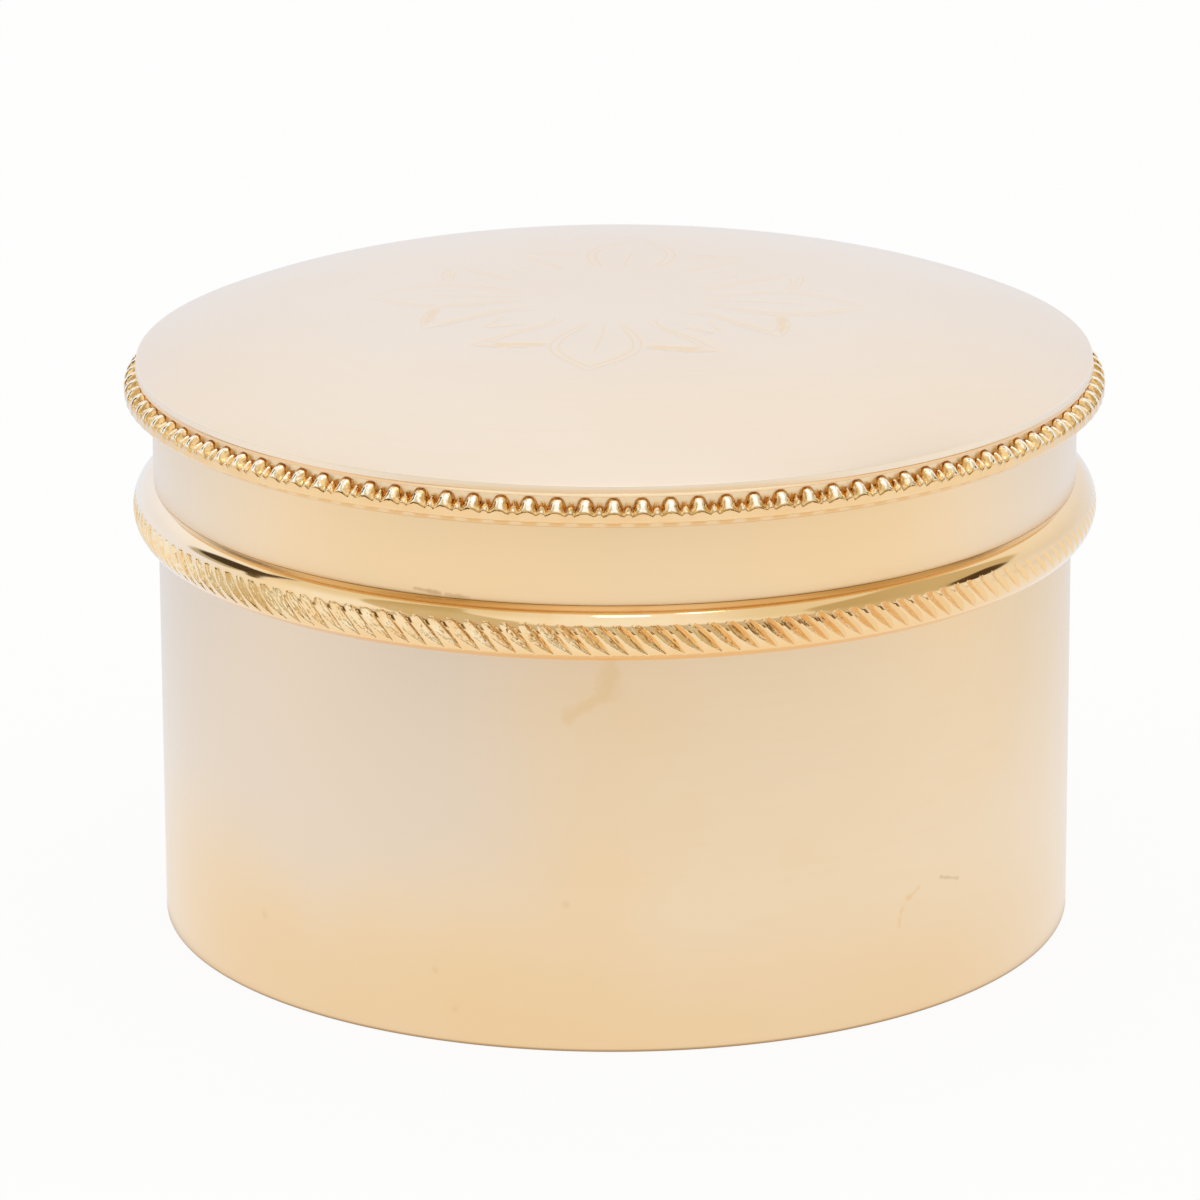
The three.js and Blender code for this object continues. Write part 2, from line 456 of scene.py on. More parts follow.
def drum_stains_and_painted_light(tree, place):
    """Marks of the drum: a painted paler reflection of cool light to the left, painted shade towards
    the foot, a painted dark contact shadow along its lowest edge, a bent smear under the ring, a few
    specks, and low on the right a short brown smear above a faint worn crescent."""
    x, _, height = parts_of(tree, place)
    drift = times(tree, around_zero(tree, place, 45, 2), 0.012)
    # Painted reflection: a paler, cooler patch to the left of the front
    painted_pale_reflection = times(tree, between(tree, plus(tree, x, drift), 0.004, -0.022),
                between(tree, plus(tree, height, drift), 0.006, 0.026))
    # Painted shade: deeper in tone towards the foot
    foot = between(tree, height, 0.018, 0.001)
    marks = [(times(tree, painted_pale_reflection, 0.78), GOLD_PAINTED_REFLECTION), (times(tree, foot, 0.4), GOLD_DEEP)]
    top, bend, end = [on_wall(*spot) for spot in SMEAR]
    smear = sums(tree, "MAXIMUM", streak(tree, place, top, bend, 1.7, 1.5),
                 streak(tree, place, bend, end, 1.1, 1.0))
    marks.append((times(tree, smear, 0.45), GOLD_DEEP))
    for spot in SPECKS:
        marks.append((times(tree, stain(tree, place, on_wall(*spot), 0.7, 0.7), 0.22), TARNISH_AND_SHADE))
    arc = [on_wall(*spot) for spot in CRESCENT]
    worn = between(tree, noise(tree, place, 520, 2), 0.3, 0.5)
    for start, end in zip(arc, arc[1:]):
        line = times(tree, streak(tree, place, start, end, 0.42, 0.4), worn)
        marks.append((times(tree, line, 0.6), GOLD_DEEP))
    brown = streak(tree, place, *[on_wall(*spot) for spot in BROWN_LINE], 0.34, 0.33)
    marks.append((times(tree, brown, 0.5), TARNISH_AND_SHADE))
    # Painted shade: a dark contact line along the lowest edge
    edge = between(tree, height, 0.44 * MM, 0.26 * MM)
    marks.append((times(tree, edge, 0.75), TARNISH_AND_SHADE))
    return marks


def skirt_smudges_and_painted_sheen(tree, place):
    """A painted sheen that makes the skirt paler towards both sides, and two short dark smudges at the
    foot, left of the front.
    """
    # Painted sheen: paler towards both sides
    aside = between(tree, sums(tree, "ABSOLUTE", parts_of(tree, place)[0]), 0.026, 0.046)
    marks = [(times(tree, aside, 0.7), SKIRT_PAINTED_SHEEN)]
    for start, end, share in SMUDGES:
        ends = [on_wall(*spot, SKIRT_RADIUS) for spot in (start, end)]
        marks.append((times(tree, streak(tree, place, *ends, 0.34, 0.32), share), TARNISH_AND_SHADE))
    return marks


def bead_wave(tree, place):
    """1 at the middle of each bead, -1 at the middle of each reel, and the height."""
    x, y, height = parts_of(tree, place)
    azimuth = sums(tree, "ARCTAN2", x, times(tree, y, -1))
    turn = times(tree, sums(tree, "SUBTRACT", azimuth, math.radians(PEARL_PHASE)), PEARL_COUNT)
    return sums(tree, "COSINE", turn), height


def pearl_painted_highlight(tree, place):
    """Painted highlights: the middle of each bead's head and a thin line down each reel are painted
    pale.
    """
    wave, height = bead_wave(tree, place)
    ragged = times(tree, around_zero(tree, place, 2300, 2), 1.4)
    bead = between(tree, plus(tree, wave, ragged), 0.5, 0.85)
    bead = times(tree, bead, between(tree, height, (BEAD_KNEE + 0.05) * MM, (BEAD_KNEE + 0.3) * MM))
    bead = times(tree, bead, between(tree, height, (BEAD_TOP - 0.02) * MM, (BEAD_TOP - 0.2) * MM))
    reel = times(tree, between(tree, wave, -0.9, -0.985), 0.7)
    return [(sums(tree, "MAXIMUM", bead, reel), PEARL_HIGHLIGHT)]


def band_painted_light(tree, place):
    """Painted light on the band: a painted shadow under the foot of each bead, and painted light above
    the heads, in the recess under the lip.
    """
    wave, height = bead_wave(tree, place)
    bead = between(tree, wave, -0.8, 0.5)
    low = between(tree, height, (BAND_FOOT - 0.1) * MM, (BAND_FOOT + 0.4) * MM)
    low = times(tree, low, between(tree, height, BEAD_FOOT * MM, (BEAD_FOOT - 0.3) * MM))
    high = between(tree, height, (REEL_TOP - 0.4) * MM, (REEL_TOP + 0.2) * MM)
    return [(times(tree, low, bead), BAND_PAINTED_SHADOW), (times(tree, high, 0.8), BAND_PAINTED_LIGHT)]


def rim_painted_light(tree, place):
    """Painted light on the wall under the crown: painted pale, and painted shade towards its foot at
    the front.
    """
    _, y, height = parts_of(tree, place)
    low = between(tree, height, (LIP_TOP + 0.66) * MM, (LIP_TOP + 0.1) * MM)
    wall = between(tree, height, (LIP_TOP + 0.8) * MM, (LIP_TOP + 0.7) * MM)
    front = between(tree, y, -0.045, -0.051)
    return [(wall, WALL_PALE), (times(tree, low, front), RIM_GOLD)]


def lip_painted_light(tree, place):
    """Painted light on the lip: a painted highlight along its upper edge at the front, and painted
    shade at the sides.
    """
    _, y, height = parts_of(tree, place)
    low = between(tree, height, (LIP_TOP - 0.14) * MM, (LIP_TOP - 0.24) * MM)
    aside = between(tree, y, -0.051, -0.046)
    return [(low, BAND_PALE), (aside, LIP_DEEP)]


def rope_painted_light(tree, place):
    """Painted light on the ring: a painted paler sheen at its far left, painted shade at its right
    side, a painted orange reflection of the drum towards its foot, and a painted dim reflection of the
    room along its upper slope, least of all at the front."""
    x, _, height = parts_of(tree, place)
    low = between(tree, height, (RING_MIDDLE - 0.6) * MM, (RING_FOOT + 0.2) * MM)
    painted_pale_reflection = between(tree, x, -0.036, -0.048)
    deep = between(tree, x, 0.008, 0.022)
    edge = between(tree, x, 0.004, 0.016, (RING_MIDDLE + 1.95) * MM, (RING_MIDDLE + 1.4) * MM)
    high = between(tree, sums(tree, "SUBTRACT", height, edge), -0.25 * MM, 0.35 * MM)
    left = times(tree, between(tree, x, -0.038, -0.034), between(tree, x, -0.003, -0.013))
    right = times(tree, between(tree, x, 0.006, 0.016), between(tree, x, 0.034, 0.024, 0.35, 1.0))
    dim_reflection_share = plus(tree, times(tree, sums(tree, "MAXIMUM", left, right), 0.85), 0.1)
    return [
        (times(tree, painted_pale_reflection, 0.7), ROPE_PAINTED_SHEEN),
        (times(tree, deep, 0.6), POLISHED_DEEP),
        (times(tree, high, dim_reflection_share), ROPE_SHADE),
        (times(tree, low, 0.95), ROPE_FOOT),
    ]


def polished_gold(name, low=POLISHED, high=POLISHED_DEEP, rough=0.06, grain=260, depth=0.004,
                  stains_and_painted_light=None):
    """Bright gilding with faint waves, or finer and deeper dents, and a few scratches."""
    material, tree, shader = new_material(name, lacquer_rough=0.05)
    place, x, y, z = place_on_object(tree)
    waves = noise(tree, place, grain, 2, 0.5)
    fine = noise(tree, turned_place(tree, x, y, z, 60, 2600), 1, 3, 0.6)
    tone = mixed(tree, between(tree, waves, 0.3, 0.75), low, high)
    tone = with_stains_and_painted_light(tree, place, tone, stains_and_painted_light)
    wear = plus(tree, between(tree, waves, 0.2, 0.8, rough - 0.02, rough + 0.03),
                between(tree, fine, 0.4, 0.9, 0.0, 0.03))
    shade(tree, shader, tone, wear, plus(tree, waves, times(tree, fine, 0.0006 / depth)), depth)
    return material


def cut_painted_shade(tree, place):
    """Painted shade: the cuts are deeper in tone on the right of the front."""
    x = parts_of(tree, place)[0]
    deep = times(tree, between(tree, x, 0.006, 0.018), between(tree, x, 0.046, 0.034))
    return [(times(tree, deep, 0.6), CUT_SHADE)]


def cut_gold(name, low=CUT_GOLD, high=CUT_DEEP, rough=0.13, grain=2600, depth=0.007):
    """Metal as the wheel or the graver left it: bright, with fine chatter marks."""
    material, tree, shader = new_material(name, lacquer_rough=0.08)
    place, *_ = place_on_object(tree)
    chatter = noise(tree, place, grain, 3, 0.6)
    patches = noise(tree, place, grain / 5, 2, 0.5)
    tone = mixed(tree, between(tree, patches, 0.3, 0.7), low, high)
    tone = with_stains_and_painted_light(tree, place, tone, cut_painted_shade)
    wear = between(tree, chatter, 0.25, 0.8, rough - 0.05, rough + 0.09)
    shade(tree, shader, tone, wear, chatter, depth)
    return material


def gilt_inside(name, rough=0.2):
    """Gilding inside the box: smoother, deeper in tone, with slow cloudy wear."""
    material, tree, shader = new_material(name, lacquer_rough=0.2)
    place, x, y, z = place_on_object(tree)
    cloud = noise(tree, place, 60, 3, 0.55)
    lines = noise(tree, turned_place(tree, x, y, z, 25, 2600), 1, 3, 0.6)
    tone = mixed(tree, between(tree, cloud, 0.3, 0.7), GOLD, GOLD_DEEP)
    wear = plus(tree, between(tree, cloud, 0.25, 0.75, rough - 0.04, rough + 0.04),
                between(tree, lines, 0.3, 0.8, -0.02, 0.02))
    shade(tree, shader, tone, wear, plus(tree, lines, cloud), 0.002)
    return material


# Pieces of the box

def settle(piece, body, slot, *nodes):
    """Ties a piece to its body and hides the CAD nodes that it stands for. The slot is not used."""
    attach(piece, body)
    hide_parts(*nodes)
    return piece


def build_drum(satin, inside):
    """The straight wall, whose inner face is smoother."""
    bore = BODY_RADIUS - SHEET
    outline = rounded([
        (bore, 0, EDGE_ROUND), (BODY_RADIUS, 0, FOOT_ROUND), (BODY_RADIUS, MOUTH, EDGE_ROUND),
        (bore, MOUTH, EDGE_ROUND),
    ])
    wall_middle = bore + SHEET / 2
    drum = lathe("drum", outline, [satin, inside], lambda radius, height: int(radius < wall_middle))
    return settle(drum, "box", "satin_gold", "body_wall")


def build_base(satin, inside):
    """The floor disc, with shallow turned grooves in its underside."""
    outline = [(0, 0)]
    for radius in GROOVE_RADII:
        outline += [(radius - BASE_GROOVE, 0), (radius, BASE_GROOVE), (radius + BASE_GROOVE, 0)]
    outline += rounded([
        (BASE_RADIUS - 1, 0, 0), (BASE_RADIUS, 0, EDGE_ROUND), (BASE_RADIUS, BASE_TOP, EDGE_ROUND),
        (BASE_RADIUS - 1, BASE_TOP, 0),
    ])
    outline.append((0, BASE_TOP))
    upper = BASE_TOP - EDGE_ROUND
    base = lathe("base", outline, [satin, inside], lambda radius, height: int(height > upper))
    return settle(base, "box", "satin_gold", "base_plate")


def build_collar(inside):
    """The sleeve that stands up into the lid, narrower at its top to lead the lid on."""
    bore = COLLAR_RADIUS - SHEET
    outline = rounded([
        (bore, COLLAR_FOOT, EDGE_ROUND), (COLLAR_RADIUS, COLLAR_FOOT, EDGE_ROUND),
        (COLLAR_RADIUS, COLLAR_TOP - COLLAR_LEAD, 0.3),
        (COLLAR_RADIUS - COLLAR_LEAD, COLLAR_TOP, EDGE_ROUND), (bore, COLLAR_TOP, EDGE_ROUND),
    ])
    collar = lathe("collar", outline, [inside])
    return settle(collar, "box", "gilt_inside", "inner_collar")


def ring_rows():
    """Angles up the ring's half-round section, close together where the cuts are."""
    low = np.linspace(-90, CUT_ARC[0], 9)[:-1]
    high = np.linspace(CUT_ARC[1], 90, 15)[1:]
    return np.concatenate([low, np.linspace(*CUT_ARC, 44), high])


def cut_stations(pitch):
    """Distances across one cut, from its deepest line: the rough wall from its crest down, the
    smooth wall up to its crest, and the land up to the next cut."""
    rough = np.linspace(-CUT_ROUGH_WALL, 0, 10)[:-1]
    smooth = np.linspace(0, CUT_SMOOTH_WALL, 8)
    land = np.linspace(CUT_SMOOTH_WALL, pitch - CUT_ROUGH_WALL, 5)[1:-1]
    return np.concatenate([rough, smooth, land])


def cut_depths(height):
    """Depth of a cut's deepest line: it grows slowly from the lower end and ends bluntly."""
    share = np.clip((height - CUT_FOOT) / (CUT_TOP - CUT_FOOT), 0, 1)
    growing = np.sin(math.pi / 2 * np.minimum(1, share / CUT_WIDEST)) ** CUT_GROWTH
    ending = (1 - np.clip((share - CUT_WIDEST) / (1 - CUT_WIDEST), 0, 1) ** 3) ** (1 / 3)
    return CUT_DEPTH * np.where(share < CUT_WIDEST, growing, ending)


def chatter_marks(rng, rows, columns, run=5):
    """Random heights that change faster across the cuts than along them."""
    marks = rng.normal(0, 1, (rows + run - 1, columns))
    marks = sum(marks[k:rows + k] for k in range(run)) / math.sqrt(run)
    return np.clip(marks, -2, 2)


def build_rope(polished, rough_cut, smooth_cut):
    """The half-round ring on a grid whose columns run along the slanting cuts. Each cut is a V
    of the wheel: a rough wall that looks up to the right and a smooth one that looks down."""
    rng = np.random.default_rng(SEED)
    girth = RING_CREST - RING_BACK
    pitch = 2 * math.pi * RING_CREST / CUT_COUNT * math.sqrt(0.5)
    stations = cut_stations(pitch)
    turn = 360 / CUT_COUNT
    across = np.tile(stations, CUT_COUNT)[None, :]
    column_turn = (np.arange(CUT_COUNT)[:, None] + stations[None, :] / pitch).reshape(1, -1) * turn
    rise = np.radians(ring_rows())[:, None]
    height = RING_MIDDLE + (RING_TOP - RING_FOOT) / 2 * np.sin(rise)
    slant = np.clip(height, CUT_FOOT, CUT_TOP) - RING_MIDDLE
    azimuth = CUT_PHASE + column_turn - np.degrees(slant / RING_CREST)
    surface = RING_BACK + girth * np.cos(rise)
    wall = np.where(across < 0, -across / CUT_ROUGH_WALL, across / CUT_SMOOTH_WALL) * CUT_DEPTH
    worn = np.clip((azimuth - CUT_WORN_FROM) / (CUT_WORN_TO - CUT_WORN_FROM), 0, 1)
    worn = np.where(azimuth < 180 - CUT_WORN_FROM, worn, 0) * CUT_WORN_SHARE
    depth = cut_depths(height) - wall - CUT_DEPTH * worn
    texture = np.where(across < 0, CUT_CHATTER * chatter_marks(rng, len(rise), across.shape[1]),
                       CUT_STRIPE * np.sin(across / CUT_SMOOTH_WALL * CUT_STRIPES * math.pi))
    depth = depth + texture * np.clip(depth / CUT_TEXTURE_DEPTH, 0, 1)
    inside = depth > CUT_SHALLOWEST
    radius = np.where(inside, surface - depth, surface)
    section = np.stack([radius, np.broadcast_to(height, radius.shape)], -1)
    azimuth = np.broadcast_to(azimuth, radius.shape)
    rows, count = radius.shape
    points = ring_grid(section, azimuth).reshape(-1, 3)
    faces = skin(rows, count, closed=True)
    in_cut = inside | np.roll(inside, -1, 1)
    finish = np.zeros((rows, count), int)
    finish[:-1] = (in_cut[:-1] | in_cut[1:]) * np.where(across < -0.01, 1, 2)
    materials = [polished, rough_cut, smooth_cut]
    piece = make_piece("rope_band", points, faces, materials, finish.reshape(-1), sharp=26)
    return settle(piece, "box", "polished_gold", "rope_ring")


# Pieces of the lid

def build_skirt(satin, inside):
    """The lid's plain cylinder, whose foot dips a little outside the mouth to meet the ring."""
    bore = SKIRT_RADIUS - SKIRT_SHEET
    foot = SKIRT_FOOT - SKIRT_SINK
    outline = rounded([
        (bore, foot, 0.25), (RING_BACK, foot, 0), (RING_BACK + 0.2, foot - 0.05, 0),
        (SKIRT_RADIUS, foot - 0.07, 0.02), (SKIRT_RADIUS, SKIRT_TOP, EDGE_ROUND),
        (bore, SKIRT_TOP, EDGE_ROUND),
    ])
    middle = SKIRT_RADIUS - SKIRT_SHEET / 2
    skirt = lathe("skirt", outline, [satin, inside], lambda radius, height: int(radius < middle))
    return settle(skirt, "lid", "satin_gold", "lid_skirt")


def pearl_stations(pitch):
    """Distances along one bead and the reel after it, from the bead's middle, each with the
    distance from the middle of its own part, and that part's half width, top and share."""
    bead = (BEAD_HALF, BEAD_TOP, 1.0)
    reel = (REEL_HALF, REEL_TOP, REEL_SHARE)
    stations = []
    for middle, part, steps in ((0, bead, 15), (pitch / 2, reel, 7)):
        for angle in np.linspace(-90, 90, steps):
            aside = part[0] * math.sin(math.radians(angle))
            stations.append((middle + aside, aside, *part))
    return stations


def head_share(over):
    """How far a head stands out at a share of its height: an arc whose slope starts and ends
    at the two angles."""
    low, high = math.radians(HEAD_START), math.radians(HEAD_END)
    sine = math.sin(low) + over * (math.sin(high) - math.sin(low))
    return (math.sqrt(1 - sine ** 2) - math.cos(high)) / (math.cos(low) - math.cos(high))


def bulge(share, power):
    """How far a rounded form stands out at a share of its half width: the higher the power, the
    fuller the form."""
    return (1 - min(1, share) ** power) ** (1 / power)


def pearl_section(aside, half, top, share):
    """Section of the wire through a bead or reel: an upright lower face that ends in an arch,
    and the head above it, which grows narrower. A low web joins the parts."""
    reach = PEARL_RADIUS - BAND_FRONT
    arch = top - BEAD_FOOT
    web = WEB_TOP - BEAD_FOOT
    knee = BEAD_KNEE - KNEE_ARCH * min(1, abs(aside) / half) ** 2 - BEAD_FOOT

    def out(rise):
        over = min(1, max(0, rise - knee) / (arch - knee))
        fullness = 8 - 6 * min(1, 3 * over)
        wide = half * bulge(min(0.999, rise / arch), 3)
        part = share * head_share(over) * bulge(abs(aside) / wide, fullness)
        joint = WEB_SHARE * bulge(rise / web, 6)
        return BAND_FRONT + max(0.02, reach * max(part, joint))

    high = max(arch * bulge(abs(aside) / half, 3), web)
    foot_turns = np.radians(np.linspace(0, 90, 6))[:-1]
    section = [(BAND_FRONT, BEAD_FOOT - 0.02)]
    for turn in foot_turns:
        sunk, rise = PEARL_FOOT_ROUND * (1 - math.sin(turn)), PEARL_FOOT_ROUND * (1 - math.cos(turn))
        section.append((out(0) - sunk, BEAD_FOOT + rise))
    for rise in np.linspace(PEARL_FOOT_ROUND, knee, FACE_ROWS):
        section.append((out(rise), BEAD_FOOT + rise))
    for k in range(1, HEAD_ROWS + 1):
        rise = knee + (high - knee) * math.sin(math.pi / 2 * k / HEAD_ROWS)
        section.append((out(rise), BEAD_FOOT + rise))
    return section


def build_pearls(pearl_gold, band_gold, pearl_foot):
    """Beads and reels with upright lower faces on a thick flat band, as one closed ring."""
    pitch = 2 * math.pi * BAND_FRONT / PEARL_COUNT
    stations = pearl_stations(pitch)
    top = BRIM_FOOT - 0.02
    edge = 0.08
    foot = [(BAND_BACK, top), (BAND_BACK, BAND_FOOT), (BAND_FRONT - edge, BAND_FOOT),
            (BAND_FRONT, BAND_FOOT + edge)]
    section = np.array([foot + pearl_section(*part) + [(BAND_FRONT, top)] for _, *part in stations])
    section = np.tile(section.transpose(1, 0, 2), (1, PEARL_COUNT, 1))
    azimuth = np.array([
        PEARL_PHASE + (bead * pitch + along) / pitch * 360 / PEARL_COUNT
        for bead in range(PEARL_COUNT) for along, *_ in stations
    ])
    points = ring_grid(section, azimuth).reshape(-1, 3)
    faces = skin(len(section), len(azimuth), closed=True)
    out = section[..., 0] - BAND_FRONT
    corners = [np.roll(np.roll(out, -i, 0), -j, 1) for i in (0, 1) for j in (0, 1)]
    on_band = np.max(corners, axis=0) < 0.05
    below_heads = np.arange(len(section))[:, None] < len(section) - 2 - HEAD_ROWS
    finish = np.where(on_band, 1, np.where(below_heads, 2, 0))
    materials = [pearl_gold, band_gold, pearl_foot]
    piece = make_piece("pearl_band", points, faces, materials, finish.reshape(-1), sharp=40)
    return settle(piece, "lid", "polished_gold", "bead_ring")


def crown_height(radius):
    """Height of the crown's upper face."""
    return DOME_TOP - CROWN_RISE * (radius / CROWN_EDGE) ** CROWN_POWER


def smooth_path(knots, spacing=0.35):
    """Points along a Catmull-Rom curve through the knots."""
    knots = np.array(knots, float)
    padded = np.vstack([2 * knots[0] - knots[1], knots, 2 * knots[-1] - knots[-2]])
    path = []
    for a, b, c, d in zip(padded, padded[1:], padded[2:], padded[3:]):
        steps = max(1, round(np.linalg.norm(c - b) / spacing))
        for t in np.arange(steps) / steps:
            path.append(0.5 * (2 * b + (c - a) * t + (2 * a - 5 * b + 4 * c - d) * t ** 2
                               + (3 * b - a - 3 * c + d) * t ** 3))
    path.append(knots[-1])
    return np.array(path)


def wriggle(start, end, width, steps):
    """A zigzag line between two points that grows wider, as a rocked graver leaves it."""
    start, end = np.array(start, float), np.array(end, float)
    way = (end - start) / np.linalg.norm(end - start)
    side = np.array([-way[1], way[0]])
    line = []
    for k in range(steps + 1):
        t = k / steps
        swing = (-1) ** k * width / 2 * (0.15 + 0.85 * t)
        line.append(start + (end - start) * t + side * swing)
    return np.array(line)


# Knots of the strokes, along and across a petal: half of its outline and inner line, its midrib,
# the leaf beside it, the rocked line that shades that leaf, and the line where two leaves meet
PETAL = [(27.6, 0), (25.4, 1.9), (23.0, 3.7), (20, 4.8), (16.5, 4.5), (13, 3.2), (9.5, 1.3)]
PETAL_INNER = [(26.2, 0), (24.3, 1.7), (22, 3.2), (19.8, 3.95), (16.6, 3.65), (13.4, 2.6), (10.5, 1.5)]
MIDRIB = [(21, 0), (16, 0.25), (10.2, 0)]
LEAF = [
    [(19.4, 13.4), (15, 9.9), (10.8, 6.1), (7.7, 5.4)],
    [(18.3, 11.6), (14.9, 8.9), (11.2, 5.6), (8.6, 4.3)],
    [(19.4, 13.4), (19.9, 9.4), (19.3, 5.3)],
    [(18.3, 11.6), (18.6, 8.6), (18.2, 5.6)],
]
LEAF_ROCKED = [(19.3, 12.6), (18.9, 5.3)]
LEAF_STEM = [(12.94, 12.94), (12.3, 11.2), (11.0, 8.6)]
ROCKED_WIDTH = 0.9
ROCKED_STEPS = 15


def leaf_strokes():
    """Strokes of one quarter of the ornament, for a main petal along +u: half of each is
    mirrored, apart from the midrib."""
    half = [smooth_path(knots) for knots in (PETAL, PETAL_INNER, *LEAF)]
    half += [wriggle(*LEAF_ROCKED, ROCKED_WIDTH, ROCKED_STEPS), smooth_path(LEAF_STEM)]
    return half, smooth_path(MIDRIB)


def rotated(path, degrees):
    """A path turned round the axis."""
    angle = math.radians(degrees)
    turn = np.array([[math.cos(angle), -math.sin(angle)], [math.sin(angle), math.cos(angle)]])
    return path @ turn.T


def all_strokes():
    """The four quarters of the ornament, from the one at the front."""
    half, midrib = leaf_strokes()
    quarter = half + [path * (1, -1) for path in half] + [midrib]
    return [rotated(path, 90 * k - 90 + LEAF_TURN) for k in range(4) for path in quarter]


def stroke_widths(path):
    """Half width of a groove at each point: it tapers to nothing at both ends."""
    gone = np.concatenate([[0], np.cumsum(np.linalg.norm(np.diff(path, axis=0), axis=1))])
    near = np.minimum(gone, gone[-1] - gone)
    return GROOVE_HALF * np.clip(near / GROOVE_TAPER, 0.02, 1) ** 0.5


def groove_depths(spots, strokes):
    """How deep the engraving is at each spot: the deepest of all grooves there, worn faint in the
    middle and behind."""
    depth = np.zeros(len(spots))
    slope = GROOVE_DEPTH / GROOVE_HALF
    for path in strokes:
        width = stroke_widths(path)
        low, high = path.min(0) - GROOVE_HALF, path.max(0) + GROOVE_HALF
        near = np.where(((spots >= low) & (spots <= high)).all(1))[0]
        if len(near) == 0:
            continue
        a, step = path[:-1], np.diff(path, axis=0)
        size = (step ** 2).sum(1)
        gap = spots[near][:, None] - a[None]
        t = np.clip((gap * step).sum(-1) / size, 0, 1)
        away = np.linalg.norm(gap - t[..., None] * step, axis=-1)
        wide = width[:-1] * (1 - t) + width[1:] * t
        depth[near] = np.maximum(depth[near], (slope * (wide - away)).max(1))
    out = np.clip(np.linalg.norm(spots, axis=1) / FAINT_MIDDLE, FAINTEST, 1)
    return np.maximum(depth, 0) * out * np.interp(spots[:, 1], FAINT_BEHIND, (1, FAINTEST_BEHIND))


def engraved_mesh():
    """Points and triangles of the crown's engraved middle, with the rim's points first."""
    spots, edges = [], []

    def add_line(path, closed=False):
        start = len(spots)
        spots.extend(path.tolist())
        count = len(path)
        edges.extend((start + k, start + k + 1) for k in range(count - 1))
        if closed:
            edges.append((start + count - 1, start))

    turns = np.radians(ROUND_AZIMUTHS)
    add_line(ENGRAVED_DISC * np.stack([np.sin(turns), -np.cos(turns)], -1), closed=True)
    strokes = all_strokes()
    for path in strokes:
        way = np.gradient(path, axis=0)
        side = np.stack([-way[:, 1], way[:, 0]], -1) / np.linalg.norm(way, axis=1, keepdims=True)
        width = stroke_widths(path)[:, None]
        for line in (path, path + side * width, path - side * width):
            add_line(line)
    for radius in np.arange(DISC_SPACING, ENGRAVED_DISC - DISC_SPACING / 3, DISC_SPACING):
        count = max(6, round(2 * math.pi * radius / DISC_SPACING))
        turn = np.arange(count) / count * 2 * math.pi
        spots.extend((radius * np.stack([np.cos(turn), np.sin(turn)], -1)).tolist())
    found = delaunay_2d_cdt([Vector(spot) for spot in spots], edges, [], 0, 1e-4)
    flat = np.array([tuple(spot) for spot in found[0]])
    depth = groove_depths(flat, strokes)
    height = crown_height(np.linalg.norm(flat, axis=1)) - depth
    faces = [tuple(face) for face in found[2]]
    cut = [int(max(depth[list(face)]) > CUT_SHALLOWEST) for face in faces]
    return np.column_stack([flat, height]), faces, cut


def shoulder_curve(steps=5):
    """The rounded corner between the upright wall over the lip and the crown."""
    corner = np.array([WALL_RADIUS, crown_height(WALL_RADIUS)])
    below = corner - (0, CORNER_ROUND)
    beyond = np.array([WALL_RADIUS - CORNER_ROUND, crown_height(WALL_RADIUS - CORNER_ROUND)])
    share = (np.arange(steps) / steps)[:, None]
    return ((1 - share) ** 2 * below + 2 * share * (1 - share) * corner + share ** 2 * beyond).tolist()


def build_dome(satin, bright, inside, engraved):
    """The domed top: turned outline from its underside round the lip to the engraved middle."""
    bore = SKIRT_RADIUS - SKIRT_SHEET
    flat = bore - UNDERSIDE_EDGE
    below = np.linspace(0, flat, UNDERSIDE_ROWS)[1:-1]
    under = [(radius, crown_height(radius) - SHEET) for radius in below]
    under += rounded([
        (flat, crown_height(flat) - SHEET, 0), (bore, crown_height(bore) - SHEET, 0.3),
        (bore, BRIM_FOOT, EDGE_ROUND),
    ])
    lip = rounded([
        (BRIM_RADIUS - 0.2, BRIM_FOOT, 0), (BRIM_RADIUS, BRIM_FOOT, 0.04),
        (BRIM_RADIUS, LIP_TOP - 0.04, 0.03), (WALL_RADIUS, LIP_TOP, 0),
    ])[:-1]
    crown = np.linspace(WALL_RADIUS - CORNER_ROUND, ENGRAVED_DISC, CROWN_ROWS)
    top = [(WALL_RADIUS, LIP_TOP), *shoulder_curve()]
    top += [(radius, crown_height(radius)) for radius in crown]
    outline = np.array(under + lip + top)
    section = np.repeat(outline[:, None], ROUND_STEPS, 1)
    points = ring_grid(section, ROUND_AZIMUTHS).reshape(-1, 3).tolist()
    faces = skin(len(outline), ROUND_STEPS, closed=False)
    finish = np.repeat([2] * len(under) + [1] * len(lip) + [0] * (len(top) - 1), ROUND_STEPS).tolist()
    tip = len(points)
    points.append((0, 0, crown_height(0) - SHEET))
    faces += [(tip, (j + 1) % ROUND_STEPS, j) for j in range(ROUND_STEPS)]
    finish += [2] * ROUND_STEPS
    middle_points, middle_faces, cut = engraved_mesh()
    rim = (len(outline) - 1) * ROUND_STEPS
    shift = len(points) - ROUND_STEPS
    points += middle_points[ROUND_STEPS:].tolist()
    for face, engraved_face in zip(middle_faces, cut):
        faces.append(tuple(rim + v if v < ROUND_STEPS else shift + v for v in face))
        finish.append(3 if engraved_face else 0)
    piece = make_piece("dome", points, faces, [satin, bright, inside, engraved], finish, sharp=17)
    return settle(piece, "lid", "satin_gold", "lid_dome")


# Surroundings

# What the metal mirrors of the floor, with painted dimmer light behind and a painted contact shadow at
# the foot
FLOOR_FRONT = (1.0, 0.99, 0.97)
FLOOR_BEHIND = (0.84, 0.87, 0.93)
FLOOR_CONTACT_SHADOW = (0.45, 0.36, 0.26)


